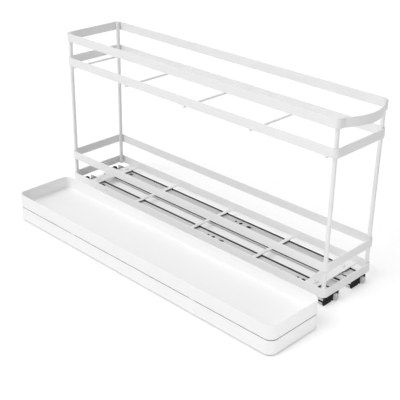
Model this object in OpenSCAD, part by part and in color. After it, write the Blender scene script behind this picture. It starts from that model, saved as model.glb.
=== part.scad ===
// Pull-out cabinet basket: a narrow two-tier basket of flat steel bar that rides on two
// floor-mounted ball-bearing runners, with two loose trays that lift out of its tiers.
// The front, with the bowed handle, faces -Y. X is the width, Z is up and z = 0 is the
// cabinet floor. The origin is the centre of the runners' four floor screw holes.
// The trays stand beside the basket, stacked on the floor.

/* [Basket] */
// Outer length of the basket's bar loops, without the bow
basket_length = 500; // [460:5:540]
// Outer width of the basket's bar loops
basket_width = 103; // [103:1:125]
// How far the basket's centre lies to the right of the runners' centre
basket_shift = 4.5; // [2:0.5:6]
// Outer bend radius of the loops' corners
corner_radius = 7; // [6:0.5:10]
// Height of the flat bar, which stands on edge
bar_height = 12.5; // [10:0.5:14]
// Thickness of the flat bar
bar_thickness = 1.6; // [1.2:0.1:2]
// Diameter of the four corner posts
rod_diameter = 5.5; // [5:0.5:6]
// Diameter of the cross wires under the upper tier
wire_diameter = 3; // [2.5:0.5:4]

/* [Bar levels] */
// Lower edge of the guard loop above the base loop
guard_level = 48.2; // [40:0.1:60]
// Lower edge of the upper tier's loop, where the cross wires hang
tier_level = 199.6; // [170:0.1:210]
// Lower edge of the top rail
top_level = 236.2; // [230:0.1:250]

/* [Bow handle] */
// How far the bowed front of the top rail stands forward of the loops
bow_reach = 13.5; // [10:0.5:18]
// Width of the bow where it leaves the loop's front
bow_chord = 80; // [76:1:82]
// Outer radius of the crease at each end of the bow
bow_crease = 5; // [3:0.5:6]

/* [Floor of the basket] */
// Thickness of the cross plates and floor bars
plate_thickness = 1.5; // [1.2:0.1:2]
// Width of the two cross plates, along the basket
plate_width = 17.5; // [15:0.5:20]
// From the basket's front to the middle of the front cross plate
front_plate_inset = 33; // [32:0.1:40]
// From the basket's back to the middle of the rear cross plate
rear_plate_inset = 31; // [28:0.1:36]
// Width of the three floor bars, along the basket
floor_bar_width = 5.5; // [4:0.5:8]
// Distance between neighbouring floor bars
floor_bar_pitch = 118.5; // [110:0.5:122]
// From the basket's front and back to the nearest of the five cross wires
wire_inset = 15.2; // [12:0.1:20]

/* [Runners] */
// Distance between the centre lines of the two runners
runner_spacing = 58.6; // [56:0.2:60]
// Distance along a runner between its two floor screw holes
screw_pitch = 384; // [320:32:384]
// Diameter of the floor screw holes
screw_hole = 4.4; // [4:0.1:5]
// Height of a closed runner
runner_height = 8.9; // [8.9:0.1:9.4]

/* [Trays] */
// Outer length of a tray
tray_length = 486; // [440:1:486]
// Outer width of a tray
tray_width = 91; // [80:1:91]
// Outer height of a tray, with its foot
tray_height = 21.1; // [15:0.1:30]
// Outer radius of a tray's corners
tray_corner = 11; // [8:0.5:16]
// Wall thickness of a tray
tray_wall = 1.6; // [1.2:0.1:2]
// Thickness of a tray's bottom
tray_floor = 2; // [1.5:0.1:2.5]
// Clear floor between the trays and the basket
tray_gap = 38.5; // [20:0.5:80]
// How far the trays stand in front of the basket's middle
tray_forward = 31; // [0:1:60]

/* [Hidden] */
$fn = 48;

half_length = basket_length / 2;
half_width = basket_width / 2;
plate_clearance = 0.6;                    // the plates stand on their bosses, clear of the rail
floor_level = runner_height + plate_clearance;  // underside of plates and floor bars
base_level = floor_level + plate_thickness;  // lower edge of the base loop
weld_gap = 0.02;                          // keeps welded pieces just clear of each other
post_inset = corner_radius
    - (corner_radius - bar_thickness - rod_diameter / 2 - weld_gap) / sqrt(2);
wire_pitch = (basket_length - 2 * wire_inset) / 4;

// The bow is an arc through the two ends of its chord
bow_radius = (pow(bow_chord / 2, 2) + pow(bow_reach, 2)) / (2 * bow_reach);
bow_centre = -half_length - bow_reach + bow_radius;
crease_step = 0.01;                       // a crease stops this far short of meeting at a tangent

// Tab on the front cross plate's right end, which reaches back over the runner's folded edge
tab_width = 14;
tab_length = 8.5;

// Screws that hold the cross plates to the runners: M4, pan head
plate_screw_offset = 7.7;                 // to the right of a runner's centre line
screw_diameter = 4;
head_diameter = 7.6;
head_height = 2.4;
recess_length = 4.2;
recess_width = 0.9;
recess_depth = 1.3;
boss_diameter = 9;
ledge_top = runner_height - 0.7;          // the basket rail's low shelf

// Runner section. u is the distance from the runner's centre line.
sheet = 1;                                // sheet steel of the rails
slip = 0.3;                               // gap between parts that slide past each other
cabinet_left = 15.7;                      // outer face of the cabinet rail's low flange
cabinet_right = 16.9;                     // outer face of its folded high flange
low_flange = 3.4;
high_flange = 8.6;
race_inner = 6.3;                         // inner race: the two upright walls on the cabinet rail
race_outer = 7.5;
race_top = 3.8;
middle_inner = 9.5;
middle_outer = 10.7;
middle_top = 6;
basket_rail_inner = 12.7;
basket_rail_outer = 13.7;
left_edge = 4.8;                          // lower edge of the basket rail's left flange
ledge_start = 1.2;                        // the basket rail's web steps down here
inner_ball_u = (race_outer + middle_inner) / 2;
inner_ball_z = 2.7;
outer_ball_u = (middle_outer + basket_rail_inner) / 2;
outer_ball_z = 4.6;
ball_diameter = 2.2;
groove_radius = 1.4;
cage_sheet = 0.6;
balls_per_row = 8;
ball_pitch = 14;

// Ends of the runner pieces, as distances in from the basket's front and back
cabinet_rail_ends = [3, 3];
race_ends = [22, 21];
middle_rail_ends = [22, 9];
basket_rail_ends = [2, 4];
inner_cage_ends = [250, 140];
outer_cage_ends = [258, 132];
plug_ends = [1.8, basket_length - 18];
cap_ends = [0, basket_length - basket_rail_ends[0]];
catch_ends = [-3.6, basket_length];
bumper_ends = [basket_length - middle_rail_ends[1] + slip, 3];
bumper_left = 3.5;
bumper_right = 9.3;
notch_end = 20.6;                         // the basket rail's shelf starts this far from the back
front_slot = [-6.8, 2.4, 22];             // slot in the basket rail's front end: u, width, length

// Black cap on the plug's front: [left, right, low, high]
cap_left = [-16, 3.6, slip, floor_level + 0.9];
cap_right = [3.5, 14.5, 3, floor_level + 0.9];
cap_notch = [-0.6, 1.8, 0, 4];

// Outline of the release catch, in u and z
catch_outline = [
    [3.9, 0.6], [5.4, 0.6], [9, 2.9], [9, floor_level - 0.2],
    [2.7, floor_level - 0.2], [2.7, 2.9]
];

// Holes in the basket rail's shelf: [y, width, length, turn]
shelf_hole_u = 5.7;
shelf_holes = [
    [202.5, 4.6, 8, 0],
    [-28.6, 3.8, 3.8, 0],
    [-38, 4.8, 4.8, 45],
    [-54, 4.4, 8.5, 0],
    [-191, 3.8, 3.8, 0],
    [-200, 4.4, 6, 0]
];

// Windows in the middle rail under those holes: [y, length]
window_width = 6;
middle_windows = [[202.5, 15], [-41.3, 38], [-195.5, 22]];

tray_x = basket_shift - half_width - tray_gap - tray_width / 2;
foot_height = 1.9;                        // the foot drops inside the rim of the tray below
foot_inset = 2;
foot_edge = 1;
tray_inner_edge = 2;
stack_gap = 1;                            // seam between a tray's shoulder and the rim below it
pad_length = 8;                           // pads under the shoulder that stand on the rim below
pad_height = stack_gap - slip;

steel_white = "white";
zinc = "silver";

// ---------- places ----------

module on_left() translate([-runner_spacing / 2, 0, 0]) children();

module on_right() translate([runner_spacing / 2, 0, 0]) children();

module in_basket() translate([basket_shift, 0, 0]) children();

// Extrudes a section drawn in X and Z along Y. ends = [in from the front, in from the back].
module run(ends)
    translate([0, half_length - ends[1], 0])
        rotate([90, 0, 0])
            linear_extrude(basket_length - ends[0] - ends[1])
                children();

// A rectangle given by its edges
module edges(left, right, low, high)
    translate([left, low]) square([right - left, high - low]);

// ---------- the basket's loops ----------

module rounded_rectangle(width, length, radius) {
    square([width - 2 * radius, length], center = true);
    square([width, length - 2 * radius], center = true);
    for (x = [-1, 1], y = [-1, 1])
        translate([x * (width / 2 - radius), y * (length / 2 - radius)])
            circle(radius);
}

// Outline of a loop, drawn in by inset
module loop_outline(inset)
    rounded_rectangle(basket_width - 2 * inset, basket_length - 2 * inset, corner_radius - inset);

// The front bow and the creases at its two ends, drawn in by inset
module bow_outline(inset) {
    radius = bow_radius - inset;
    depth = -half_length + inset - bow_centre;
    crease = bow_crease + inset;
    crease_x = sqrt(pow(radius + crease, 2) - pow(depth - crease, 2));
    touch = [crease_x, depth - crease] * radius / (radius + crease);
    translate([0, bow_centre]) {
        intersection() {
            circle(radius, $fn = 180);
            edges(-radius, radius, -radius - 1, depth + 1);
        }
        for (side = [0, 1])
            mirror([side, 0, 0])
                difference() {
                    polygon([
                        [touch[0], depth + 1],
                        touch,
                        [crease_x, depth - crease],
                        [crease_x, depth + 1]
                    ]);
                    translate([crease_x, depth - crease]) circle(crease - crease_step);
                }
    }
}

module bar_loop(level)
    color(steel_white)
        translate([0, 0, level])
            linear_extrude(bar_height)
                difference() {
                    loop_outline(0);
                    loop_outline(bar_thickness);
                }

module top_rail()
    color(steel_white)
        translate([0, 0, top_level])
            linear_extrude(bar_height)
                difference() {
                    union() {
                        loop_outline(0);
                        bow_outline(0);
                    }
                    union() {
                        loop_outline(bar_thickness);
                        bow_outline(bar_thickness);
                    }
                }

// side is -1 for left and 1 for right, and end is -1 for front and 1 for rear
module post(side, end)
    color(steel_white)
        translate([side * (half_width - post_inset), end * (half_length - post_inset), base_level])
            cylinder(h = top_level + bar_height - base_level, d = rod_diameter);

// Cross wire under the upper tier, counted from the front
module tier_wire(number)
    color(steel_white)
        translate([0, (number - 3) * wire_pitch, tier_level - wire_diameter / 2])
            rotate([0, 90, 0])
                cylinder(h = basket_width, d = wire_diameter, center = true);

// ---------- the basket's floor ----------

// Flat bar across the runners, counted from the front
module floor_bar(number)
    color(steel_white)
        translate([-half_width, (number - 2) * floor_bar_pitch - floor_bar_width / 2, floor_level])
            cube([basket_width, floor_bar_width, plate_thickness]);

// Puts a part at each plate screw of one cross plate, in the basket's own X
module at_plate_screws()
    for (side = [-1, 1])
        translate([side * runner_spacing / 2 - basket_shift + plate_screw_offset, 0, 0])
            children();

// tab adds the tab at the right end
module cross_plate(tab)
    color(steel_white)
        difference() {
            union() {
                translate([0, 0, floor_level])
                    linear_extrude(plate_thickness) {
                        square([basket_width, plate_width], center = true);
                        if (tab)
                            edges(half_width - tab_width, half_width,
                                0, plate_width / 2 + tab_length);
                    }
                at_plate_screws()
                    translate([0, 0, ledge_top])
                        cylinder(h = floor_level - ledge_top, d = boss_diameter);
            }
            at_plate_screws()
                translate([0, 0, ledge_top - 1])
                    cylinder(h = plate_thickness + 4, d = screw_diameter + 0.4);
        }

module front_cross_plate()
    translate([0, -half_length + front_plate_inset, 0]) cross_plate(true);

module rear_cross_plate()
    translate([0, half_length - rear_plate_inset, 0]) cross_plate(false);

// Pan-head screw with a cross recess. Its tip ends flush under the basket rail's shelf.
module plate_screw()
    difference() {
        union() {
            translate([0, 0, ledge_top - sheet + 0.05])
                cylinder(h = base_level - ledge_top + sheet - 0.05, d = screw_diameter);
            translate([0, 0, base_level])
                rotate_extrude() {
                    square([head_diameter / 2, head_height / 2]);
                    square([head_diameter / 2 - head_height / 2, head_height]);
                    intersection() {
                        translate([head_diameter / 2 - head_height / 2, head_height / 2])
                            circle(head_height / 2);
                        square([head_diameter / 2, head_height]);
                    }
                }
        }
        for (turn = [0, 90])
            translate([0, 0, base_level + head_height - recess_depth / 2 + 0.5])
                rotate([0, 0, turn])
                    cube([recess_length, recess_width, recess_depth + 1], center = true);
    }

module plate_screws()
    color(steel_white)
        for (y = [-half_length + front_plate_inset, half_length - rear_plate_inset])
            translate([0, y, 0]) at_plate_screws() plate_screw();

// ---------- the runners ----------

// Circles that cut or hold the ball tracks, on both sides of the centre line
module both_sides(u, z)
    for (side = [-1, 1]) translate([side * u, z]) children();

module cabinet_rail()
    color(zinc)
        difference() {
            union() {
                run(cabinet_rail_ends) {
                    edges(-cabinet_left, cabinet_right, 0, sheet);
                    edges(-cabinet_left, -cabinet_left + sheet, 0, low_flange);
                    edges(cabinet_right - sheet, cabinet_right, 0, high_flange);
                }
                run(race_ends)
                    difference() {
                        for (side = [-1, 1])
                            translate([side * (race_inner + race_outer) / 2, race_top / 2])
                                square([race_outer - race_inner, race_top], center = true);
                        both_sides(inner_ball_u, inner_ball_z) circle(groove_radius);
                    }
            }
            for (end = [-1, 1])
                translate([0, end * screw_pitch / 2, -1])
                    cylinder(h = sheet + 2, d = screw_hole);
        }

module rear_bumper()
    color("black")
        run(bumper_ends)
            edges(bumper_left, bumper_right, sheet, high_flange - 0.2);

// Steel channel, open below, with a ball track inside and outside each wall
module middle_rail()
    color(zinc)
        difference() {
            run(middle_rail_ends)
                difference() {
                    edges(-middle_outer, middle_outer, sheet + slip, middle_top);
                    edges(-middle_inner, middle_inner, 0, middle_top - sheet);
                    both_sides(inner_ball_u, inner_ball_z) circle(groove_radius);
                    both_sides(outer_ball_u, outer_ball_z) circle(groove_radius);
                }
            for (place = middle_windows)
                translate([shelf_hole_u, place[0], middle_top])
                    cube([window_width, place[1], 3 * sheet], center = true);
        }

// Runs a part along the row of balls of a cage
module ball_row(ends)
    for (i = [0 : balls_per_row - 1])
        translate([0, (ends[0] - ends[1]) / 2 + (i - (balls_per_row - 1) / 2) * ball_pitch, 0])
            children();

// A thin channel that keeps the balls apart. top is its upper face.
module cage(ends, ball_u, ball_z, strip, top, low)
    color(zinc)
        difference() {
            run(ends)
                difference() {
                    edges(-ball_u - strip / 2, ball_u + strip / 2, low, top);
                    edges(-ball_u + strip / 2, ball_u - strip / 2, 0, top - cage_sheet);
                }
            ball_row(ends)
                translate([0, 0, ball_z])
                    rotate([0, 90, 0])
                        cylinder(h = 4 * ball_u, d = ball_diameter + 0.1, center = true);
        }

module balls(ends, ball_u, ball_z)
    color(zinc)
        ball_row(ends)
            for (side = [-1, 1])
                translate([side * ball_u, 0, ball_z]) sphere(d = ball_diameter);

module inner_cage()
    cage(inner_cage_ends, inner_ball_u, inner_ball_z, middle_inner - race_outer - 2 * slip,
        middle_top - sheet - slip, sheet + slip);

module inner_balls() balls(inner_cage_ends, inner_ball_u, inner_ball_z);

module outer_cage()
    cage(outer_cage_ends, outer_ball_u, outer_ball_z,
        basket_rail_inner - middle_outer - 2 * slip, ledge_top - sheet - slip, 2.9);

module outer_balls() balls(outer_cage_ends, outer_ball_u, outer_ball_z);

module shelf_hole(place)
    translate([shelf_hole_u, place[0], ledge_top - sheet - 1])
        rotate([0, 0, place[3]])
            linear_extrude(sheet + 2)
                if (place[3] > 0) {
                    square([place[1], place[2]], center = true);
                } else {
                    for (end = [-1, 1])
                        translate([0, end * (place[2] - place[1]) / 2]) circle(place[1] / 2);
                    square([place[1], place[2] - place[1] + 0.01], center = true);
                }

// The rail that carries the basket: its web steps down to a shelf on the right
module basket_rail()
    color(zinc)
        difference() {
            run(basket_rail_ends)
                difference() {
                    union() {
                        edges(-basket_rail_outer, ledge_start + sheet, left_edge,
                            runner_height);
                        edges(ledge_start, basket_rail_outer, sheet + slip + 0.1, ledge_top);
                    }
                    edges(-basket_rail_inner, ledge_start, 0, runner_height - sheet);
                    edges(0, basket_rail_inner, 0, ledge_top - sheet);
                    both_sides(outer_ball_u, outer_ball_z) circle(groove_radius);
                }
            for (place = shelf_holes) shelf_hole(place);
            for (y = [-half_length + front_plate_inset, half_length - rear_plate_inset])
                translate([plate_screw_offset, y, ledge_top - sheet - 1])
                    cylinder(h = sheet + 2, d = screw_diameter + 0.2);
            translate([bumper_left - slip, half_length - notch_end, 0])
                cube([cabinet_right, notch_end, runner_height + 1]);
            translate([front_slot[0] - front_slot[1] / 2, -half_length, ledge_top])
                cube([front_slot[1], front_slot[2], sheet + 2]);
        }

// Black plug that closes the basket rail's front end, with a cap in front of the rails
module front_plug()
    color("black") {
        run(plug_ends) {
            edges(-basket_rail_inner, ledge_start, sheet + slip + 0.1, runner_height - sheet);
            edges(0, basket_rail_inner, sheet + slip + 0.1, ledge_top - sheet);
        }
        run(cap_ends)
            difference() {
                for (part = [cap_left, cap_right]) edges(part[0], part[1], part[2], part[3]);
                edges(cap_notch[0], cap_notch[1], cap_notch[2], cap_notch[3]);
            }
    }

// Plastic catch on the front of the cap: a tongue that narrows downwards
module release_catch()
    color("lightgray")
        run(catch_ends) polygon(catch_outline);

// ---------- the trays ----------

// Section through a tray's wall, from the corner's centre outwards
module tray_section(reach) {
    foot = reach - foot_inset;
    inside = reach - tray_wall - tray_inner_edge;
    difference() {
        union() {
            edges(0, foot - foot_edge, 0, tray_height);
            edges(0, foot, foot_edge, tray_height);
            edges(0, reach, foot_height, tray_height);
            translate([foot - foot_edge, foot_edge]) circle(foot_edge);
        }
        edges(-1, inside, tray_floor, tray_height + 1);
        edges(-1, reach - tray_wall, tray_floor + tray_inner_edge, tray_height + 1);
        translate([inside, tray_floor + tray_inner_edge]) circle(tray_inner_edge);
    }
}

module tray() {
    side_length = tray_length - 2 * tray_corner;
    end_length = tray_width - 2 * tray_corner;
    color(steel_white) {
        translate([-end_length / 2, -side_length / 2, 0])
            cube([end_length, side_length, tray_floor]);
        for (turn = [0, 180])
            rotate([0, 0, turn]) {
                translate([end_length / 2, side_length / 2, 0])
                    rotate([90, 0, 0]) linear_extrude(side_length) tray_section(tray_corner);
                translate([-end_length / 2, side_length / 2, 0])
                    rotate([90, 0, 90]) linear_extrude(end_length) tray_section(tray_corner);
                translate([end_length / 2, side_length / 2, 0])
                    rotate_extrude(angle = 90) tray_section(tray_corner);
                translate([-end_length / 2, side_length / 2, 0])
                    rotate([0, 0, 90]) rotate_extrude(angle = 90) tray_section(tray_corner);
                for (y = [-1, 1])
                    translate([tray_width / 2 - foot_inset - slip, y * side_length / 4 - pad_length / 2,
                            foot_height - pad_height])
                        cube([foot_inset, pad_length, pad_height + slip]);
            }
    }
}

module lower_tray() translate([tray_x, -tray_forward, 0]) tray();

module upper_tray()
    translate([tray_x, -tray_forward, tray_height - foot_height + stack_gap]) tray();

on_left() cabinet_rail();  // left_cabinet_rail
on_right() cabinet_rail();  // right_cabinet_rail
on_left() rear_bumper();  // left_rear_bumper
on_right() rear_bumper();  // right_rear_bumper
on_left() inner_cage();  // left_inner_cage
on_right() inner_cage();  // right_inner_cage
on_left() inner_balls();  // left_inner_balls
on_right() inner_balls();  // right_inner_balls
on_left() middle_rail();  // left_middle_rail
on_right() middle_rail();  // right_middle_rail
on_left() outer_cage();  // left_outer_cage
on_right() outer_cage();  // right_outer_cage
on_left() outer_balls();  // left_outer_balls
on_right() outer_balls();  // right_outer_balls
on_left() basket_rail();  // left_basket_rail
on_right() basket_rail();  // right_basket_rail
on_left() front_plug();  // left_front_plug
on_right() front_plug();  // right_front_plug
on_left() release_catch();  // left_release_catch
on_right() release_catch();  // right_release_catch
in_basket() front_cross_plate();
in_basket() rear_cross_plate();
in_basket() plate_screws();
in_basket() floor_bar(1);  // floor_bar_1
in_basket() floor_bar(2);  // floor_bar_2
in_basket() floor_bar(3);  // floor_bar_3
in_basket() bar_loop(base_level);  // base_loop
in_basket() bar_loop(guard_level);  // guard_loop
in_basket() bar_loop(tier_level);  // tier_loop
in_basket() top_rail();
in_basket() post(-1, -1);  // front_left_post
in_basket() post(1, -1);  // front_right_post
in_basket() post(-1, 1);  // rear_left_post
in_basket() post(1, 1);  // rear_right_post
in_basket() tier_wire(1);  // tier_wire_1
in_basket() tier_wire(2);  // tier_wire_2
in_basket() tier_wire(3);  // tier_wire_3
in_basket() tier_wire(4);  // tier_wire_4
in_basket() tier_wire(5);  // tier_wire_5
lower_tray();
upper_tray();
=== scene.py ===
from math import asin, cos, pi, radians, sin, tan

import bmesh
import bpy
from mathutils import Matrix, Vector


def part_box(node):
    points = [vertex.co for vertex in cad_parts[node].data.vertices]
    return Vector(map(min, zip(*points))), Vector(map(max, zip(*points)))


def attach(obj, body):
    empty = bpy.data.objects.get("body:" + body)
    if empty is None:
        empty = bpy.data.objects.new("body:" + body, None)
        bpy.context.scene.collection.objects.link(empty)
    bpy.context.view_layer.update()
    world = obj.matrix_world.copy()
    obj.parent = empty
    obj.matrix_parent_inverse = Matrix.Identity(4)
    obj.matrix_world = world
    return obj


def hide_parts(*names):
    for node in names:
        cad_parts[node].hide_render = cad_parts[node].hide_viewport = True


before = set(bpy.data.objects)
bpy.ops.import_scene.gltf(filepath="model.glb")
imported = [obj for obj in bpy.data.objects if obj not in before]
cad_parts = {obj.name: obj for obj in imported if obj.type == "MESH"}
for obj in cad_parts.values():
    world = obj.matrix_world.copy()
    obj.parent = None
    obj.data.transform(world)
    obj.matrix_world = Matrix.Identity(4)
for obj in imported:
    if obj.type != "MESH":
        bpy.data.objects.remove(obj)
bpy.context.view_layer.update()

# ---- Camera ----
# Stands off the front left corner of the basket and looks down on it along the trays.
bpy.ops.object.camera_add(location=(-0.8154, -0.777, 0.5927))
camera = bpy.context.object
camera.rotation_euler = (
    Matrix.Rotation(radians(-45.95), 3, "Z")
    @ Matrix.Rotation(radians(90 - 25.95), 3, "X")
    @ Matrix.Rotation(radians(0.95), 3, "Z")
).to_euler()
camera.data.sensor_width = 36
camera.data.lens = 78.28
bpy.context.scene.camera = camera


# ---- Floor, world and lamps ----
# A plain white floor in a white room that is dimmer to the front. One wide soft lamp stands high
# on the trays' side, and a small one low in front of the trays lightens their ends.
def linear(code):
    """Turns an sRGB hex colour into a linear one."""
    parts = [int(code[i:i + 2], 16) / 255 for i in (1, 3, 5)]
    return [p / 12.92 if p <= 0.04045 else ((p + 0.055) / 1.055) ** 2.4 for p in parts] + [1]


def add_node(tree, kind, sockets=None, **settings):
    """Adds a shader node. A socket takes a value, or another node's output as a link."""
    node = tree.nodes.new("ShaderNode" + kind)
    for name, value in settings.items():
        setattr(node, name, value)
    for name, value in (sockets or {}).items():
        if isinstance(value, bpy.types.NodeSocket):
            tree.links.new(value, node.inputs[name])
        else:
            node.inputs[name].default_value = value
    return node


def bare_material(name):
    """Makes a material and empties its node tree."""
    material = bpy.data.materials.new(name)
    material.use_nodes = True
    material.node_tree.nodes.clear()
    return material, material.node_tree


def white_floor():
    """Matt white paper, lit from behind to the eye so that only the deeper part of the object's
    shadow shows on it. The lift is weaker in a strip between the runners, which paints a grey
    shade there."""
    material, tree = bare_material("white_paper")
    path = add_node(tree, "LightPath")
    seen = add_node(tree, "Mix", {0: path.outputs["Is Camera Ray"], 6: linear("#F4F4F4"),
                                  7: linear("#E4E4E4")}, data_type="RGBA")
    matt = add_node(tree, "BsdfDiffuse", {"Color": seen.outputs[2]})
    place = add_node(tree, "SeparateXYZ", {0: add_node(tree, "TexCoord").outputs["Object"]})
    # Painted shade: inside this box between the runners the camera's lift drops from 0.36 to 0.19,
    # so the floor shows a grey strip there.
    gap_half_width, gap_half_length = 0.0155, 0.25
    shares = []
    for axis, half in ((0, gap_half_width), (1, gap_half_length)):
        share = add_node(tree, "Math", {0: place.outputs[axis], 1: half}, operation="DIVIDE")
        shares.append(add_node(tree, "Math", {0: share.outputs[0]}, operation="ABSOLUTE"))
    inside = add_node(tree, "Math", {0: shares[0].outputs[0], 1: shares[1].outputs[0]},
                      operation="MAXIMUM")
    level = add_node(tree, "MapRange", {"Value": inside.outputs[0], "From Min": 0.94,
                                        "From Max": 1.06, "To Min": 0.19, "To Max": 0.36})
    level = add_node(tree, "Math", {0: level.outputs[0], 1: path.outputs["Is Camera Ray"]},
                     operation="MULTIPLY")
    lift = add_node(tree, "Emission", {"Color": linear("#FFFFFF"), "Strength": level.outputs[0]})
    lit = add_node(tree, "AddShader", {0: matt.outputs[0], 1: lift.outputs[0]})
    glow = add_node(tree, "Emission", {"Color": linear("#FFFFFF"), "Strength": 1})
    direct = add_node(tree, "Math", {0: path.outputs["Is Glossy Ray"],
                                     1: path.outputs["Is Transmission Ray"]},
                      operation="MAXIMUM")
    mixed = add_node(tree, "MixShader", {0: direct.outputs[0], 1: lit.outputs[0],
                                         2: glow.outputs[0]})
    add_node(tree, "OutputMaterial", {"Surface": mixed.outputs[0]})
    return material


bpy.ops.object.select_all(action="DESELECT")
bpy.ops.mesh.primitive_plane_add(size=14, location=(0, 0, -0.0002))
floor = bpy.context.object
floor.name = "floor"
floor.data.materials.append(white_floor())

world = bpy.data.worlds.new("white_room")
bpy.context.scene.world = world
world.use_nodes = True
tree = world.node_tree
tree.nodes.clear()
front_level, back_level = 0.33, 0.82
path = add_node(tree, "LightPath")
seen = add_node(tree, "Math", {0: path.outputs["Is Camera Ray"],
                               1: path.outputs["Is Glossy Ray"]}, operation="MAXIMUM")
seen = add_node(tree, "Math", {0: seen.outputs[0], 1: path.outputs["Is Transmission Ray"]},
                operation="MAXIMUM")
facing = add_node(tree, "SeparateXYZ", {0: add_node(tree, "TexCoord").outputs["Generated"]})
dim = add_node(tree, "MapRange", {"Value": facing.outputs[1], "From Min": -1.0, "From Max": 1.0,
                                  "To Min": front_level, "To Max": back_level})
level = add_node(tree, "MapRange", {"Value": seen.outputs[0], "To Min": dim.outputs[0],
                                    "To Max": 1.0})
room = add_node(tree, "Background", {"Color": linear("#FFFFFF"), "Strength": level.outputs[0]})
add_node(tree, "OutputWorld", {"Surface": room.outputs[0]})

bpy.ops.object.light_add(type="SUN", location=(-1.5, -0.3, 3))
lamp = bpy.context.object
lamp.name = "overhead_lamp"
lamp.data.energy = 1.27
lamp.data.angle = radians(40)
lamp.rotation_euler = Vector((0.8, -0.22, -1)).to_track_quat("-Z", "Y").to_euler()

bpy.ops.object.light_add(type="AREA", location=(-0.15, -0.48, 0.025))
lamp = bpy.context.object
lamp.name = "low_front_lamp"
lamp.data.shape = "RECTANGLE"
lamp.data.size, lamp.data.size_y = 0.16, 0.05
lamp.data.energy = 0.11
lamp.visible_camera = False
lamp.rotation_euler = Vector((0.08, 0.24, -0.01)).to_track_quat("-Z", "Y").to_euler()

bpy.context.scene.view_settings.view_transform = "Standard"


# ---- Bar loops ----
# Four closed loops of flat steel bar on edge, bent round 7 mm corners and butt welded. The top
# one is bowed forward at the front as the handle. All are powder coated white when welded up.
def choose(test, kind="VERT"):
    """Selects what passes a test on its place, in edit mode."""
    bpy.ops.mesh.select_all(action="DESELECT")
    bpy.ops.mesh.select_mode(type=kind)
    shape = bmesh.from_edit_mesh(bpy.context.object.data)
    for part in {"VERT": shape.verts, "EDGE": shape.edges, "FACE": shape.faces}[kind]:
        if test(part):
            part.select = True
    shape.select_flush_mode()
    bmesh.update_edit_mesh(bpy.context.object.data)


def settle(piece):
    """Puts the piece's place in its mesh, with its object at the origin."""
    bpy.ops.object.select_all(action="DESELECT")
    piece.select_set(True)
    bpy.context.view_layer.objects.active = piece
    bpy.ops.object.transform_apply(location=True, rotation=True, scale=True)


def apply(piece, kind, **settings):
    """Adds a modifier and applies it."""
    bpy.context.view_layer.objects.active = piece
    modifier = piece.modifiers.new(kind.lower(), kind)
    for name, value in settings.items():
        setattr(modifier, name, value)
    bpy.ops.object.modifier_apply(modifier=modifier.name)


def ease(piece, width, segments=2, angle=50):
    """Rounds the sharp edges and evens the shading of the flats between them."""
    bpy.ops.object.select_all(action="DESELECT")
    piece.select_set(True)
    apply(piece, "BEVEL", width=width, segments=segments, limit_method="ANGLE",
          angle_limit=radians(angle))
    bpy.ops.object.shade_smooth_by_angle(angle=radians(46))
    apply(piece, "WEIGHTED_NORMAL", keep_sharp=True)


def powder_coat():
    """White polyester powder baked on steel: satin, with a faint orange peel about 2 mm across
    that breaks up the highlights, and slightly warmer where the coat is thick."""
    material, tree = bare_material("white_powder_coat")
    place = add_node(tree, "TexCoord").outputs["Object"]
    cloud = add_node(tree, "TexNoise", {"Vector": place, "Scale": 22, "Detail": 3})
    tint = add_node(tree, "Mix", {0: cloud.outputs[0], 6: linear("#EFEFEF"),
                                  7: linear("#F4F4F4")}, data_type="RGBA")
    peel = add_node(tree, "TexNoise", {"Vector": place, "Scale": 480, "Detail": 2,
                                       "Roughness": 0.4})
    gloss = add_node(tree, "MapRange", {"Value": peel.outputs[0], "To Min": 0.34, "To Max": 0.46})
    bump = add_node(tree, "Bump", {"Height": peel.outputs[0], "Strength": 0.35,
                                   "Distance": 0.00006})
    coat = add_node(tree, "BsdfPrincipled", {"Base Color": tint.outputs[2],
                                             "Roughness": gloss.outputs[0], "IOR": 1.5,
                                             "Normal": bump.outputs[0]})
    add_node(tree, "OutputMaterial", {"Surface": coat.outputs[0]})
    return material


WHITE_COAT = powder_coat()
LOOPS = ["base_loop", "guard_loop", "tier_loop", "top_rail"]
loop_low, loop_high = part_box("tier_loop")
loop_middle = (loop_low + loop_high) / 2
bar_height = loop_high.z - loop_low.z
bar_thickness = 0.0016
corner_radius = 0.007
bar_edge = 0.0003
bow_chord, bow_crease = 0.08, 0.005
bow_reach = loop_low.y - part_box("top_rail")[0].y
bow_radius = (bow_chord ** 2 / 4 + bow_reach ** 2) / (2 * bow_reach)
bow_turn = asin(bow_chord / 2 / bow_radius)


def bow_the_front():
    """Draws the front edge of a flat outline forward into an arc with a crease at each end."""
    cuts = 29
    choose(lambda e: all(v.co.y < loop_low.y + 0.0001 for v in e.verts), "EDGE")
    bpy.ops.mesh.subdivide(number_cuts=cuts)
    shape = bmesh.from_edit_mesh(bpy.context.object.data)
    front = sorted((v for v in shape.verts if v.co.y < loop_low.y + 0.0001
                    and loop_low.x + 0.0001 < v.co.x < loop_high.x - 0.0001),
                   key=lambda v: v.co.x)
    for i, vertex in enumerate(front):
        angle = bow_turn * (2 * i / (cuts - 1) - 1)
        vertex.co.x = loop_middle.x + bow_radius * sin(angle)
        vertex.co.y = loop_low.y - bow_reach + bow_radius * (1 - cos(angle))
    bmesh.update_edit_mesh(bpy.context.object.data)
    choose(lambda v: v.co.y < loop_low.y + 0.0001
           and abs(abs(v.co.x - loop_middle.x) - bow_chord / 2) < 0.0001)
    bpy.ops.mesh.bevel(offset=bow_crease * tan(bow_turn / 2), segments=6, affect="VERTICES")


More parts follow.
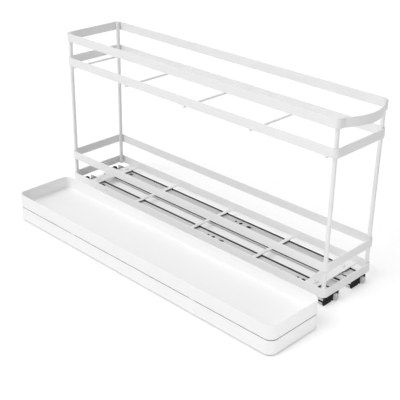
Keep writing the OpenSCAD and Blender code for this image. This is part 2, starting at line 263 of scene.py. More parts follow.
for name in LOOPS:
    low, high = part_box(name)
    bpy.ops.object.select_all(action="DESELECT")
    bpy.ops.mesh.primitive_plane_add(size=1, location=(loop_middle.x, loop_middle.y, low.z))
    loop = bpy.context.object
    loop.name = name + "_bar"
    loop.scale = (loop_high.x - loop_low.x, loop_high.y - loop_low.y, 1)
    settle(loop)
    bpy.ops.object.mode_set(mode="EDIT")
    if name == "top_rail":
        bow_the_front()
    choose(lambda v: min(abs(v.co.x - x) for x in (loop_low.x, loop_high.x)) < 0.0001)
    bpy.ops.mesh.bevel(offset=corner_radius, segments=10, affect="VERTICES")
    bpy.ops.mesh.select_all(action="SELECT")
    bpy.ops.mesh.delete(type="ONLY_FACE")
    bpy.ops.mesh.select_all(action="SELECT")
    bpy.ops.mesh.extrude_edges_move(TRANSFORM_OT_translate={"value": (0, 0, bar_height)})
    bpy.ops.mesh.select_all(action="SELECT")
    bpy.ops.mesh.normals_make_consistent(inside=False)
    bpy.ops.object.mode_set(mode="OBJECT")
    apply(loop, "SOLIDIFY", thickness=bar_thickness, offset=-1, use_even_offset=True)
    ease(loop, bar_edge)
    loop.data.materials.append(WHITE_COAT)
    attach(loop, "basket")
    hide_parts(name)


# ---- Corner posts ----
# Round steel rods that stand inside the loops' corners and tie them together. Each is resistance
# welded to every loop, which leaves a small bead on both sides of it under the coat.
def weld_bead(place, size):
    """A small rounded bead of weld."""
    bpy.ops.mesh.primitive_uv_sphere_add(segments=14, ring_count=10, radius=1, location=place)
    bead = bpy.context.object
    bead.scale = size
    bpy.ops.object.mode_set(mode="EDIT")
    bpy.ops.mesh.select_all(action="SELECT")
    bpy.ops.object.mode_set(mode="OBJECT")
    bpy.ops.object.shade_smooth()
    return bead


def join(pieces, name):
    """Joins pieces into the first one and names it."""
    bpy.ops.object.select_all(action="DESELECT")
    for piece in pieces:
        piece.select_set(True)
    bpy.context.view_layer.objects.active = pieces[0]
    bpy.ops.object.join()
    pieces[0].name = name
    settle(pieces[0])
    return pieces[0]


def rod(length, diameter, place, turn=(0, 0, 0)):
    """A round rod with eased ends."""
    bpy.ops.object.select_all(action="DESELECT")
    bpy.ops.mesh.primitive_cylinder_add(vertices=32, radius=diameter / 2, depth=length)
    piece = bpy.context.object
    bpy.ops.object.mode_set(mode="EDIT")
    choose(lambda e: abs(e.verts[0].co.z - e.verts[1].co.z) < 0.0001, "EDGE")
    bpy.ops.mesh.bevel(offset=diameter * 0.16, segments=4)
    bpy.ops.object.mode_set(mode="OBJECT")
    piece.location, piece.rotation_euler = place, turn
    settle(piece)
    bpy.ops.object.shade_smooth_by_angle(angle=radians(40))
    return piece


bead_reach, bead_inset = 0.0034, 0.0004
bead_size = (0.0008, 0.0008, 0.0046)
for name in ("front_left_post", "front_right_post", "rear_left_post", "rear_right_post"):
    low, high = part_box(name)
    middle = (low + high) / 2
    parts = [rod(high.z - low.z, high.x - low.x, middle)]
    out_x = 1 if middle.x > loop_middle.x else -1
    out_y = 1 if middle.y > loop_middle.y else -1
    for loop_name in LOOPS:
        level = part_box(loop_name)[0].z + bar_height / 2
        for bead_x, bead_y in ((bead_reach, -bead_inset), (-bead_inset, bead_reach)):
            parts.append(weld_bead((middle.x + out_x * bead_x, middle.y + out_y * bead_y, level),
                                   bead_size))
    post = join(parts, name + "_rod")
    post.data.materials.append(WHITE_COAT)
    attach(post, "basket")
    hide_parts(name)


# ---- Cross wires ----
# Five 3 mm steel wires that cross under the upper tier and carry its tray. Their cut ends lie
# flush with the loop, and each is welded to the loop's lower edge.
bead_inset, bead_sink = 0.0011, 0.0002
bead_size = (0.0008, 0.0007, 0.0006)
for number in range(1, 6):
    low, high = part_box(f"tier_wire_{number}")
    middle = (low + high) / 2
    parts = [rod(high.x - low.x, high.z - low.z, middle, (0, pi / 2, 0))]
    for x in (low.x + bead_inset, high.x - bead_inset):
        for side in (-1, 1):
            parts.append(weld_bead((x, middle.y + side * bead_inset, high.z - bead_sink),
                                   bead_size))
    wire = join(parts, f"tier_wire_{number}_rod")
    wire.data.materials.append(WHITE_COAT)
    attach(wire, "basket")
    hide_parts(f"tier_wire_{number}")


# ---- Floor bars and cross plates ----
# Three narrow bars and two wider plates of 1.5 mm steel cross under the base loop, welded to it.
# The plates are pressed down round their screws, where they stand on the runners, and the front
# one has a tab at its right end.
bar_corner = 0.0008
for number in range(1, 4):
    low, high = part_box(f"floor_bar_{number}")
    bpy.ops.object.select_all(action="DESELECT")
    bpy.ops.mesh.primitive_cube_add(size=1, location=(low + high) / 2, scale=high - low)
    bar = bpy.context.object
    bar.name = f"floor_bar_{number}_strip"
    settle(bar)
    bpy.ops.object.mode_set(mode="EDIT")
    choose(lambda e: abs(e.verts[0].co.z - e.verts[1].co.z) > 0.001, "EDGE")
    bpy.ops.mesh.bevel(offset=bar_corner, segments=3)
    bpy.ops.object.mode_set(mode="OBJECT")
    ease(bar, bar_edge)
    bar.data.materials.append(WHITE_COAT)
    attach(bar, "basket")
    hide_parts(f"floor_bar_{number}")

runner_centres = {"left": -0.0293, "right": 0.0293}
plate_screw_offset = 0.0077
plate_thickness, plate_corner = 0.0015, 0.001
plate_hole, boss_radius = 0.0044, 0.0045
tab_width, tab_length = 0.014, 0.0085


def cut(piece, cutter):
    """Cuts one piece's shape out of another and throws the cutter away."""
    apply(piece, "BOOLEAN", object=cutter, operation="DIFFERENCE", solver="EXACT")
    bpy.data.objects.remove(cutter)


def drill(piece, place, diameter, depth=0.01):
    """Drills an upright hole."""
    bpy.ops.object.select_all(action="DESELECT")
    bpy.ops.mesh.primitive_cylinder_add(vertices=32, radius=diameter / 2, depth=depth,
                                        location=place)
    cut(piece, bpy.context.object)


for name in ("front_cross_plate", "rear_cross_plate"):
    low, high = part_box(name)
    has_tab = name == "front_cross_plate"
    back = high.y - (tab_length if has_tab else 0)
    under = high.z - plate_thickness
    bpy.ops.object.select_all(action="DESELECT")
    bpy.ops.mesh.primitive_plane_add(size=1, location=((low.x + high.x) / 2, (low.y + back) / 2,
                                                       under))
    plate = bpy.context.object
    plate.name = name + "_pressing"
    plate.scale = (high.x - low.x, back - low.y, 1)
    settle(plate)
    bpy.ops.object.mode_set(mode="EDIT")
    if has_tab:
        bpy.ops.mesh.select_all(action="SELECT")
        bpy.ops.mesh.bisect(plane_co=(high.x - tab_width, 0, 0), plane_no=(1, 0, 0))
        choose(lambda e: all(v.co.y > back - 0.0001 and v.co.x > high.x - tab_width - 0.0001
                             for v in e.verts), "EDGE")
        bpy.ops.mesh.extrude_edges_move(TRANSFORM_OT_translate={"value": (0, tab_length, 0)})
        choose(lambda e: e.is_manifold, "EDGE")
        bpy.ops.mesh.dissolve_edges(use_verts=True)
    bpy.ops.mesh.select_all(action="SELECT")
    bpy.ops.mesh.bevel(offset=plate_corner, segments=3, affect="VERTICES")
    bpy.ops.mesh.select_all(action="SELECT")
    bpy.ops.mesh.extrude_region_move(TRANSFORM_OT_translate={"value": (0, 0, plate_thickness)})
    bpy.ops.mesh.select_all(action="SELECT")
    bpy.ops.mesh.normals_make_consistent(inside=False)
    bpy.ops.object.mode_set(mode="OBJECT")
    screw_y = (low.y + back) / 2
    parts = [plate]
    for centre in runner_centres.values():
        drill(plate, (centre + plate_screw_offset, screw_y, high.z), plate_hole)
    ease(plate, bar_edge)
    for centre in runner_centres.values():
        bpy.ops.object.select_all(action="DESELECT")
        bpy.ops.mesh.primitive_cylinder_add(
            vertices=40, radius=boss_radius, depth=under - low.z,
            location=(centre + plate_screw_offset, screw_y, (under + low.z) / 2))
        boss = bpy.context.object
        drill(boss, (centre + plate_screw_offset, screw_y, under), plate_hole)
        boss.select_set(True)
        bpy.ops.object.shade_smooth_by_angle(angle=radians(40))
        parts.append(boss)
    plate = join(parts, plate.name)
    plate.data.materials.append(WHITE_COAT)
    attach(plate, "basket")
    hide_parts(name)


# ---- Plate screws ----
# Four M4 pan-head machine screws with a cross recess, lacquered white, that hold the cross plates
# to the runners. They are driven from above through the pressed-down spots.
def white_screw_lacquer():
    """White stove lacquer on a headed steel screw: smoother and glossier than the powder coat,
    with fine scuffs from the driver that dull its shine unevenly."""
    material, tree = bare_material("white_screw_lacquer")
    place = add_node(tree, "TexCoord").outputs["Object"]
    scuff = add_node(tree, "TexNoise", {"Vector": place, "Scale": 900, "Detail": 3})
    tint = add_node(tree, "Mix", {0: scuff.outputs[0], 6: linear("#EDEDED"),
                                  7: linear("#F6F6F6")}, data_type="RGBA")
    gloss = add_node(tree, "MapRange", {"Value": scuff.outputs[0], "To Min": 0.22, "To Max": 0.4})
    lacquer = add_node(tree, "BsdfPrincipled", {"Base Color": tint.outputs[2], "IOR": 1.52,
                                                "Roughness": gloss.outputs[0]})
    add_node(tree, "OutputMaterial", {"Surface": lacquer.outputs[0]})
    return material


def copy_of(piece, name, place):
    """Copies a piece with its own mesh, and names and places the copy."""
    bpy.ops.object.select_all(action="DESELECT")
    piece.select_set(True)
    bpy.context.view_layer.objects.active = piece
    bpy.ops.object.duplicate()
    copy = bpy.context.object
    copy.name = name
    copy.location = place
    return copy


head_radius, head_height, head_round = 0.0038, 0.0024, 0.0014
shank_diameter = 0.004
recess = (0.0042, 0.0009, 0.0026)  # length, width and twice its depth
low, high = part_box("plate_screws")
bpy.ops.object.select_all(action="DESELECT")
bpy.ops.mesh.primitive_cylinder_add(vertices=40, radius=head_radius, depth=head_height,
                                    location=(0, 0, high.z - head_height / 2))
head = bpy.context.object
settle(head)
bpy.ops.object.mode_set(mode="EDIT")
choose(lambda e: all(v.co.z > high.z - 0.0001 for v in e.verts), "EDGE")
bpy.ops.mesh.bevel(offset=head_round, segments=6)
bpy.ops.object.mode_set(mode="OBJECT")
for turn in (0, pi / 2):
    bpy.ops.object.select_all(action="DESELECT")
    bpy.ops.mesh.primitive_cube_add(size=1, location=(0, 0, high.z), rotation=(0, 0, turn),
                                    scale=recess)
    slot_cutter = bpy.context.object
    bpy.ops.object.mode_set(mode="EDIT")
    choose(lambda f: f.normal.z < -0.5, "FACE")
    bpy.ops.transform.resize(value=(0.55, 0.6, 1))
    bpy.ops.object.mode_set(mode="OBJECT")
    cut(head, slot_cutter)
ease(head, 0.00012, angle=40)
under_head = high.z - head_height
shank = rod(under_head - low.z, shank_diameter, (0, 0, (under_head + low.z) / 2))
screw = join([head, shank], "plate_screw")
WHITE_SCREW = white_screw_lacquer()
screw_rows = [sum(v.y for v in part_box("front_cross_plate")) / 2 - tab_length / 2,
              sum(v.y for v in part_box("rear_cross_plate")) / 2]
for row_name, y, turns in (("front", screw_rows[0], (0.3, 1.0)),
                           ("rear", screw_rows[1], (0.7, 0.1))):
    for (side, centre), turn in zip(runner_centres.items(), turns):
        copy = copy_of(screw, f"{row_name}_{side}_plate_screw",
                       (centre + plate_screw_offset, y, 0))
        copy.rotation_euler.z = turn
        settle(copy)
        copy.data.materials.append(WHITE_SCREW)
        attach(copy, "basket")
        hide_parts("plate_screws")
bpy.data.objects.remove(screw)


# ---- Runner rails ----
# Each runner is three rails rolled from zinc-plated strip: one on the cabinet's floor, a channel
# that rides on it, and a wider one over both. A blackened, oiled race is welded in the first. The
# race and the greased middle rail are coloured dark partly as painted shade, for what is seen down
# the holes of the shelf above them.
def zinc_plated_strip(name, dull, bright, spark):
    """Cold-rolled steel strip, zinc plated: fine rolling lines from dull to bright along its
    length, a faint cloudy spangle, and reflections drawn out softly across the lines. Painted
    shade: an ambient-occlusion mask darkens its colour towards near-black in narrow gaps and
    holes."""
    material, tree = bare_material(name)
    place = add_node(tree, "TexCoord").outputs["Object"]
    along = add_node(tree, "Mapping", {"Vector": place, "Scale": (1, 0.012, 1)})
    lines = add_node(tree, "TexNoise", {"Vector": along.outputs[0], "Scale": 2400, "Detail": 3,
                                        "Roughness": 0.6})
    spangle = add_node(tree, "TexVoronoi", {"Vector": place, "Scale": 210, "Randomness": 1})
    cloud = add_node(tree, "TexNoise", {"Vector": place, "Scale": 60, "Detail": 2})
    base = add_node(tree, "Mix", {0: lines.outputs[0], 6: linear(dull), 7: linear(bright)},
                    data_type="RGBA")
    mottle = add_node(tree, "MapRange", {"Value": spangle.outputs["Color"], "To Min": 0.0,
                                         "To Max": 0.16})
    tint = add_node(tree, "Mix", {0: mottle.outputs[0], 6: base.outputs[2],
                                  7: linear(spark)}, data_type="RGBA")
    gloss = add_node(tree, "MapRange", {"Value": cloud.outputs[0], "To Min": 0.32, "To Max": 0.5})
    # Painted shade: ambient occlusion within 8 mm darkens the colour towards near-black in gaps,
    # holes and under the bars lying on the strip.
    open_sky = add_node(tree, "AmbientOcclusion", {"Distance": 0.008}, samples=8)
    unshaded_share = add_node(tree, "MapRange", {"Value": open_sky.outputs["AO"], "From Min": 0.25,
                                        "From Max": 0.7})
    tint = add_node(tree, "Mix", {0: unshaded_share.outputs[0], 6: linear("#1C1B1A"),
                                  7: tint.outputs[2]}, data_type="RGBA")
    bump = add_node(tree, "Bump", {"Height": lines.outputs[0], "Strength": 0.25,
                                   "Distance": 0.00003})
    steel = add_node(tree, "BsdfPrincipled", {"Base Color": tint.outputs[2], "Metallic": 1,
                                              "Roughness": gloss.outputs[0],
                                              "Normal": bump.outputs[0]})
    add_node(tree, "OutputMaterial", {"Surface": steel.outputs[0]})
    return material


def oiled_black_and_shade_steel():
    """Blackened and oiled spring steel of the inner races: nearly black, with an uneven film of
    oil that turns patches of it glossier. The near-black colour is partly painted shade: it
    darkens what is seen down the holes of the rails above."""
    material, tree = bare_material("oiled_black_and_shade_steel")
    place = add_node(tree, "TexCoord").outputs["Object"]
    film = add_node(tree, "TexNoise", {"Vector": place, "Scale": 130, "Detail": 3})
    tint = add_node(tree, "Mix", {0: film.outputs[0], 6: linear("#2A2A2B"),
                                  7: linear("#3B3B3C")}, data_type="RGBA")
    gloss = add_node(tree, "MapRange", {"Value": film.outputs[0], "To Min": 0.28, "To Max": 0.5})
    steel = add_node(tree, "BsdfPrincipled", {"Base Color": tint.outputs[2], "Metallic": 1,
                                              "Roughness": gloss.outputs[0]})
    add_node(tree, "OutputMaterial", {"Surface": steel.outputs[0]})
    return material


def folded_strip(corners, front, back, sheet):
    """A strip folded along its length. corners are its section's outer corners: X and Z in metres
    from the runner's centre line, and the bend's radius there, in the order that keeps the steel
    on their right."""
    bpy.ops.object.select_all(action="DESELECT")
    bpy.ops.mesh.primitive_plane_add(size=1)
    strip = bpy.context.object
    bpy.ops.object.mode_set(mode="EDIT")
    choose(lambda v: v.co.x > 0)
    bpy.ops.mesh.delete(type="VERT")
    bpy.ops.mesh.select_all(action="SELECT")
    bpy.ops.transform.resize(value=(1, back - front, 1))
    bpy.ops.transform.translate(value=(corners[0][0] + 0.5, (front + back) / 2, corners[0][1]))
    for (x0, z0, _), (x1, z1, _) in zip(corners, corners[1:]):
        bpy.ops.mesh.extrude_edges_move(
            TRANSFORM_OT_translate={"value": (x1 - x0, 0, z1 - z0)})
    for x, z, radius in corners[1:-1]:
        choose(lambda e: all(abs(v.co.x - x) < 1e-6 and abs(v.co.z - z) < 1e-6 for v in e.verts),
               "EDGE")
        bpy.ops.mesh.bevel(offset=radius, segments=4)
    bpy.ops.object.mode_set(mode="OBJECT")
    normal = strip.data.polygons[0].normal
    first = Vector((corners[1][0] - corners[0][0], 0, corners[1][1] - corners[0][1]))
    outwards = first.cross(Vector((0, 1, 0)))
    if normal.dot(outwards) > 0:
        bpy.ops.object.mode_set(mode="EDIT")
        bpy.ops.mesh.select_all(action="SELECT")
        bpy.ops.mesh.flip_normals()
        bpy.ops.object.mode_set(mode="OBJECT")
    apply(strip, "SOLIDIFY", thickness=sheet, offset=-1, use_even_offset=True)
    return strip


def both_runners(piece, node, body, material, name=None):
    """Puts a copy of a runner piece on each side and throws the first one away."""
    for side, centre in runner_centres.items():
        copy = copy_of(piece, f"{side}_{name or node}_piece", (centre, 0, 0))
        settle(copy)
        copy.data.materials.append(material)
        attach(copy, body.format(side=side))
        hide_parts(f"{side}_{node}")
    bpy.data.objects.remove(piece)


def slot_cut(piece, place, width, length, turn=0.0):
    """Punches an upright slot with rounded ends, or a square hole if it has no length over."""
    bpy.ops.object.select_all(action="DESELECT")
    bpy.ops.mesh.primitive_cube_add(size=1, location=place, rotation=(0, 0, turn),
                                    scale=(width, length, 0.006))
    cutter = bpy.context.object
    settle(cutter)
    if length > width:
        bpy.ops.object.mode_set(mode="EDIT")
        choose(lambda e: abs(e.verts[0].co.z - e.verts[1].co.z) > 0.001, "EDGE")
        bpy.ops.mesh.bevel(offset=width * 0.49, segments=6)
        bpy.ops.object.mode_set(mode="OBJECT")
    cut(piece, cutter)


def block(left, right, front, back, under, over):
    """A plain block between its six faces, X from the runner's centre line, to be shaped."""
    bpy.ops.object.select_all(action="DESELECT")
    bpy.ops.mesh.primitive_cube_add(
        size=1, location=((left + right) / 2, (front + back) / 2, (under + over) / 2),
        scale=(right - left, back - front, over - under))
    piece = bpy.context.object
    settle(piece)
    return piece


ZINC_STRIP = zinc_plated_strip("galvanised_steel", "#C0C0C0", "#D8D8D8", "#E5E5E5")
# Greased strip for the middle rails and cages. Its darker colours are partly painted shade, for
# the shade inside the runners and under the shelf's holes.
GREASE_AND_SHADE_ZINC = zinc_plated_strip("greased_and_shade_steel", "#6E6E6D", "#858584", "#939392")
screw_pitch, floor_screw_hole = 0.384, 0.0044
base_sheet, race_sheet, middle_sheet, basket_sheet = 0.001, 0.0009, 0.0009, 0.0008
strip_edge = 0.00015
race_front, race_back = 0.019, 0.018  # how far the race stops short of the rail's ends
low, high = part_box("left_cabinet_rail")
base = folded_strip([(0.0169, 0.0086, 0), (0.0169, 0, 0.0013), (-0.0157, 0, 0.0013),
                     (-0.0157, 0.0034, 0)], low.y, high.y, base_sheet)
race = folded_strip([(0.00735, 0.0038, 0), (0.00735, 0.001, 0.001), (-0.00735, 0.001, 0.001),
                     (-0.00735, 0.0038, 0)], low.y + race_front, high.y - race_back,
                    race_sheet)
for y in (-screw_pitch / 2, screw_pitch / 2):
    drill(base, (0, y, 0.0005), floor_screw_hole)
    drill(race, (0, y, 0.0015), floor_screw_hole)
ease(base, strip_edge, angle=40)
ease(race, strip_edge, angle=40)
both_runners(base, "cabinet_rail", "cabinet_side", ZINC_STRIP)
# The race's near-black colour is partly painted shade for the holes above it.
both_runners(race, "cabinet_rail", "cabinet_side", oiled_black_and_shade_steel(),
             name="inner_race")

hole_line = 0.0057  # to the right of the runner's centre line
middle_top, window_width = 0.006, 0.006
middle_windows = ((0.2025, 0.015), (-0.0413, 0.038), (-0.1955, 0.022))  # place along, length
low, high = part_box("left_middle_rail")
middle_rail = folded_strip([(-0.01055, 0.0013, 0), (-0.01055, middle_top, 0.0013),
                            (0.01055, middle_top, 0.0013), (0.01055, 0.0013, 0)],
                           low.y, high.y, middle_sheet)
for y, length in middle_windows:
    cut(middle_rail, block(hole_line - window_width / 2, hole_line + window_width / 2,
                           y - length / 2, y + length / 2,
                           middle_top - 0.0015, middle_top + 0.0015))
ease(middle_rail, strip_edge, angle=40)
both_runners(middle_rail, "middle_rail", "{side}_middle", GREASE_AND_SHADE_ZINC)

# The holes in the basket rail's shelf: place along, width, length and turn in degrees.
shelf_holes = ((0.2025, 0.0046, 0.008, 0), (-0.0286, 0.0038, 0.003801, 0),
               (-0.038, 0.0048, 0.0048, 45), (-0.054, 0.0044, 0.0085, 0),
               (-0.191, 0.0038, 0.003801, 0), (-0.2, 0.0044, 0.006, 0))
shelf_screw_hole = 0.0042
notch_left, notch_length = 0.0032, 0.0166
slot_middle, slot_width, slot_length = -0.0068, 0.0024, 0.02
low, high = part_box("left_basket_rail")
shelf, top = 0.0082, high.z
basket_rail = folded_strip([(-0.0137, 0.0048, 0), (-0.0137, top, 0.001), (0.001, top, 0.001),
                            (0.003, shelf, 0.0006), (0.0137, shelf, 0.001),
                            (0.0137, 0.0014, 0)], low.y, high.y, basket_sheet)
for y, width, length, turn in shelf_holes:
    slot_cut(basket_rail, (hole_line, y, shelf), width, length, radians(turn))
for y in screw_rows:
    drill(basket_rail, (plate_screw_offset, y, shelf), shelf_screw_hole, 0.004)
cut(basket_rail, block(notch_left, 0.0172, high.y - notch_length, high.y + 0.004,
                       -0.001, 0.011))
cut(basket_rail, block(slot_middle - slot_width / 2, slot_middle + slot_width / 2,
                       low.y - 0.002, low.y + slot_length, top - 0.0013, top + 0.0013))
ease(basket_rail, strip_edge, angle=40)
both_runners(basket_rail, "basket_rail", "basket", ZINC_STRIP)


# ---- Ball cages and balls ----
# Thin steel cages keep two rows of 2.2 mm hardened balls apart between the rails. The cages are
# pressed from greased zinc-plated strip, whose darker colour is partly painted shade inside the
# runner, and the balls are ground and polished.
def polished_ball_steel():
    """Ground and polished chromium steel: a clear reflection with faint rolling scuffs."""
    material, tree = bare_material("polished_ball_steel")
    place = add_node(tree, "TexCoord").outputs["Object"]
    scuff = add_node(tree, "TexNoise", {"Vector": place, "Scale": 1500, "Detail": 2})
    gloss = add_node(tree, "MapRange", {"Value": scuff.outputs[0], "To Min": 0.08, "To Max": 0.2})
    tint = add_node(tree, "Mix", {0: scuff.outputs[0], 6: linear("#C9CBCD"),
                                  7: linear("#D9DADB")}, data_type="RGBA")
    steel = add_node(tree, "BsdfPrincipled", {"Base Color": tint.outputs[2], "Metallic": 1,
                                              "Roughness": gloss.outputs[0]})
    add_node(tree, "OutputMaterial", {"Surface": steel.outputs[0]})
    return material


BALL_STEEL = polished_ball_steel()
for side in runner_centres:
    for row in ("inner", "outer"):
        for kind, material in (("cage", GREASE_AND_SHADE_ZINC), ("balls", BALL_STEEL)):
            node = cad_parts[f"{side}_{row}_{kind}"]
            node.data.materials.clear()
            node.data.materials.append(material)


# ---- Front plugs ----
# Black moulded plugs, pushed into the open front ends of the basket rails. A cap in front closes
# the gap to the cabinet rail, with ribs across its face that keep its wall thin.
def black_plastic():
    """Injection-moulded black polyamide: matt, with a fine eroded grain about 0.5 mm across that
    swallows most of its shine."""
    material, tree = bare_material("black_plastic")
    place = add_node(tree, "TexCoord").outputs["Object"]
    grain = add_node(tree, "TexNoise", {"Vector": place, "Scale": 2000, "Detail": 2})
    tint = add_node(tree, "Mix", {0: grain.outputs[0], 6: linear("#060606"),
                                  7: linear("#101010")}, data_type="RGBA")
    bump = add_node(tree, "Bump", {"Height": grain.outputs[0], "Strength": 0.4,
                                   "Distance": 0.00004})
    plastic = add_node(tree, "BsdfPrincipled", {"Base Color": tint.outputs[2], "Roughness": 0.6,
                                                "IOR": 1.53, "Specular IOR Level": 0.2,
                                                "Normal": bump.outputs[0]})
    add_node(tree, "OutputMaterial", {"Surface": plastic.outputs[0]})
    return material


BLACK_PLASTIC = black_plastic()
moulded_edge = 0.0003
past = 0.001  # how far a cutter reaches past what it cuts
plug_half_width, plug_overlap = 0.0126, 0.0005
step_place, step_rise = 0.0008, 0.0006
rib_gaps, gap_half_width, gap_depth = (-0.0135, -0.0108, -0.0081, -0.0054, -0.0027), 0.0006, 0.0009
low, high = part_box("left_front_plug")
cap_back, cap_top = low.y + 0.0019, high.z
plug = block(-plug_half_width, plug_half_width, cap_back - plug_overlap, high.y, 0.0015,
             shelf - 0.0009)
bpy.ops.object.mode_set(mode="EDIT")
bpy.ops.mesh.select_all(action="SELECT")
bpy.ops.mesh.bisect(plane_co=(step_place, 0, 0), plane_no=(1, 0, 0))
choose(lambda f: f.normal.z > 0.5 and f.calc_center_median().x < step_place - 0.0001, "FACE")
bpy.ops.mesh.extrude_region_move(TRANSFORM_OT_translate={"value": (0, 0, step_rise)})
bpy.ops.object.mode_set(mode="OBJECT")
ease(plug, moulded_edge, angle=40)
cap = block(-0.016, 0.0145, low.y, cap_back, 0.0003, cap_top)
for left, right, over in ((0.0036, 0.02, 0.003), (-0.0006, 0.0018, 0.004)):
    cut(cap, block(left, right, low.y - past, cap_back + past, -past, over))
for x in rib_gaps:
    cut(cap, block(x - gap_half_width, x + gap_half_width, low.y - past, low.y + gap_depth,
                   0.0014, cap_top - 0.0012))
ease(cap, moulded_edge, angle=40)
both_runners(join([plug, cap], "front_plug"), "front_plug", "basket", BLACK_PLASTIC)


# ---- Release catches ----
# A pale grey moulded tongue on the front of each cap, pressed to unlock the basket from the
# runner. It narrows downwards, with a raised rim round a shallow thumb hollow.
def grey_plastic():
    """Injection-moulded light grey acetal: satin and slightly waxy, with a very fine grain."""
    material, tree = bare_material("grey_plastic")
    place = add_node(tree, "TexCoord").outputs["Object"]
    grain = add_node(tree, "TexNoise", {"Vector": place, "Scale": 1800, "Detail": 2})
    tint = add_node(tree, "Mix", {0: grain.outputs[0], 6: linear("#CCCCCB"),
                                  7: linear("#D5D5D4")}, data_type="RGBA")
    bump = add_node(tree, "Bump", {"Height": grain.outputs[0], "Strength": 0.25,
                                   "Distance": 0.00003})
    plastic = add_node(tree, "BsdfPrincipled", {"Base Color": tint.outputs[2], "Roughness": 0.42,
                                                "IOR": 1.48, "Normal": bump.outputs[0]})
    add_node(tree, "OutputMaterial", {"Surface": plastic.outputs[0]})
    return material


GREY_PLASTIC = grey_plastic()
waist, tip = 0.0029, 0.0006  # heights where the tongue starts to narrow, and ends
tip_share, tip_pivot = 0.238, 0.004275
catch_round, rim_width, hollow_depth = 0.0007, 0.0009, 0.0006
low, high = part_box("left_release_catch")
catch = block(0.0027, 0.009, low.y, high.y, waist, high.z)
bpy.ops.object.mode_set(mode="EDIT")
choose(lambda f: f.normal.z < -0.5, "FACE")
bpy.ops.mesh.extrude_region_move(TRANSFORM_OT_translate={"value": (0, 0, tip - waist)})
bpy.ops.transform.resize(value=(tip_share, 1, 1), center_override=(tip_pivot, 0, 0))
choose(lambda e: abs(e.verts[0].co.y - e.verts[1].co.y) > 0.001, "EDGE")
bpy.ops.mesh.bevel(offset=catch_round, segments=4)
choose(lambda f: f.normal.y < -0.9, "FACE")
bpy.ops.mesh.inset(thickness=rim_width)
bpy.ops.mesh.extrude_region_move(TRANSFORM_OT_translate={"value": (0, hollow_depth, 0)})
bpy.ops.object.mode_set(mode="OBJECT")
ease(catch, 0.00025, angle=30)
both_runners(catch, "release_catch", "basket", GREY_PLASTIC)


# ---- Rear bumpers ----
# Black rubbery blocks that stand in the rear end of the cabinet rails, where the closing middle
# rails meet them. Two grooves across the top let them give a little.
groove_half_width, groove_depth = 0.0003, 0.0012
low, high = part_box("left_rear_bumper")
centre = runner_centres["left"]
bumper = block(low.x - centre, high.x - centre, low.y, high.y, low.z, high.z)
for y in (low.y + 0.0018, low.y + 0.0036):
    cut(bumper, block(-0.01, 0.02, y - groove_half_width, y + groove_half_width,
                      high.z - groove_depth, high.z + past))
ease(bumper, moulded_edge, angle=40)
both_runners(bumper, "rear_bumper", "cabinet_side", BLACK_PLASTIC)


# ---- Trays ----
# Two identical white plastic trays, one for each tier, moulded in one shot. A stepped foot drops
# inside the rim of the tray below when they are stacked, and four low pads beside it stand on that
# rim and leave a thin shadow line.
def white_plastic():
    """Injection-moulded white polypropylene: satin, slightly soft to the light, with a fine
    even grain and very faint flow clouds. Painted shade: an ambient-occlusion mask darkens the
    colour in the seam between stacked trays and in other tight corners."""
    material, tree = bare_material("white_plastic")
    place = add_node(tree, "TexCoord").outputs["Object"]
    cloud = add_node(tree, "TexNoise", {"Vector": place, "Scale": 9, "Detail": 3})
    tint = add_node(tree, "Mix", {0: cloud.outputs[0], 6: linear("#F8F8F8"),
                                  7: linear("#FBFBFB")}, data_type="RGBA")
    # Painted shade: ambient occlusion within 5 mm darkens the colour towards dark grey in the seam
    # and tight corners.
    open_sky = add_node(tree, "AmbientOcclusion", {"Distance": 0.005}, samples=8)
    unshaded_share = add_node(tree, "MapRange", {"Value": open_sky.outputs["AO"], "From Min": 0.2,
                                        "From Max": 0.6})
    tint = add_node(tree, "Mix", {0: unshaded_share.outputs[0], 6: linear("#3A3A39"),
                                  7: tint.outputs[2]}, data_type="RGBA")
    grain = add_node(tree, "TexNoise", {"Vector": place, "Scale": 1400, "Detail": 2})
    bump = add_node(tree, "Bump", {"Height": grain.outputs[0], "Strength": 0.25,
                                   "Distance": 0.00004})
    gloss = add_node(tree, "MapRange", {"Value": cloud.outputs[0], "To Min": 0.42, "To Max": 0.5})
    plastic = add_node(tree, "BsdfPrincipled", {"Base Color": tint.outputs[2],
                                                "Roughness": gloss.outputs[0], "IOR": 1.49,
                                                "Normal": bump.outputs[0]})
    add_node(tree, "OutputMaterial", {"Surface": plastic.outputs[0]})
    return material


tray_low, tray_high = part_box("lower_tray")
tray_middle = (tray_low + tray_high) / 2
tray_corner, tray_wall, tray_floor = 0.011, 0.0016, 0.002
foot_height, foot_inset = 0.0019, 0.002
half_x = (tray_high.x - tray_low.x) / 2 - tray_corner
half_y = (tray_high.y - tray_low.y) / 2 - tray_corner
tray_height = tray_high.z - tray_low.z
pad_half_length, pad_sink, pad_rise = 0.004, 0.0007, 0.0003

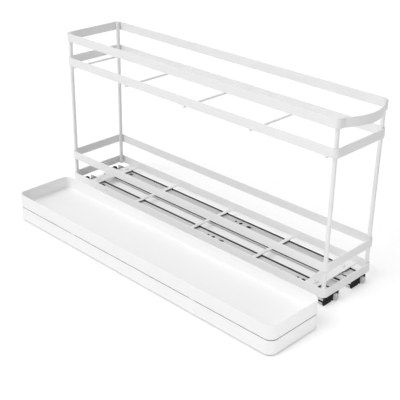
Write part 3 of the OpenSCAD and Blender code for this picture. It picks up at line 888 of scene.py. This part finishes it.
# The wall's section, from the bottom round the rim to the floor: distance out from the
# corner's centre, height, and the edge's radius.
section = [(0.001, 0, 0), (tray_corner - foot_inset, 0, 0.001),
           (tray_corner - foot_inset, foot_height, 0.0003),
           (tray_corner, foot_height, 0.0005), (tray_corner, tray_height, 0.0007),
           (tray_corner - tray_wall, tray_height, 0.0007),
           (tray_corner - tray_wall, tray_floor, 0.002), (0.001, tray_floor, 0)]
bpy.ops.object.select_all(action="DESELECT")
bpy.ops.mesh.primitive_plane_add(size=0.001)
tray = bpy.context.object
bpy.ops.object.mode_set(mode="EDIT")
choose(lambda v: v.co.x > 0 or v.co.y > 0)
bpy.ops.mesh.delete(type="VERT")
bpy.ops.mesh.select_all(action="SELECT")
start = bmesh.from_edit_mesh(tray.data).verts[:][0].co
bpy.ops.transform.translate(value=Vector((half_x + section[0][0], half_y, section[0][1])) - start)
for (r0, z0, _), (r1, z1, _) in zip(section, section[1:]):
    bpy.ops.mesh.extrude_vertices_move(TRANSFORM_OT_translate={"value": (r1 - r0, 0, z1 - z0)})
for reach, level, radius in section:
    if radius:
        choose(lambda v: abs(v.co.x - half_x - reach) < 1e-6 and abs(v.co.z - level) < 1e-6)
        bpy.ops.mesh.bevel(offset=radius, segments=4, affect="VERTICES")
bpy.ops.mesh.select_all(action="SELECT")
corners = [(half_x, half_y), (-half_x, half_y), (-half_x, -half_y), (half_x, -half_y)]
for i, (x, y) in enumerate(corners):
    bpy.ops.mesh.spin(steps=12, angle=-pi / 2, center=(x, y, 0), axis=(0, 0, 1))
    next_x, next_y = corners[(i + 1) % 4]
    bpy.ops.mesh.extrude_edges_move(
        TRANSFORM_OT_translate={"value": (next_x - x, next_y - y, 0)})
bpy.ops.mesh.select_all(action="SELECT")
bpy.ops.mesh.remove_doubles(threshold=0.00002)
for level in (0, tray_floor):
    choose(lambda e: e.is_boundary and abs(e.verts[0].co.z - level) < 0.0001, "EDGE")
    bpy.ops.mesh.edge_face_add()
bpy.ops.mesh.select_all(action="SELECT")
bpy.ops.mesh.normals_make_consistent(inside=False)
bpy.ops.object.mode_set(mode="OBJECT")
bpy.ops.object.shade_smooth_by_angle(angle=radians(40))
apply(tray, "WEIGHTED_NORMAL", keep_sharp=True)
pads = []
outer_x = half_x + tray_corner
for side in (-1, 1):
    for y in (-half_y / 2, half_y / 2):
        inner, outer = sorted((side * (outer_x - foot_inset - 0.0001), side * (outer_x - 0.0003)))
        pad = block(inner, outer, y - pad_half_length, y + pad_half_length,
                    foot_height - pad_sink, foot_height + pad_rise)
        ease(pad, 0.0002)
        pads.append(pad)
tray = join([tray] + pads, "tray")
WHITE_PLASTIC = white_plastic()
for name in ("lower_tray", "upper_tray"):
    copy = copy_of(tray, name + "_moulding",
                   (tray_middle.x, tray_middle.y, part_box(name)[0].z))
    settle(copy)
    copy.data.materials.append(WHITE_PLASTIC)
    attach(copy, name)
    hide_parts(name)
bpy.data.objects.remove(tray)
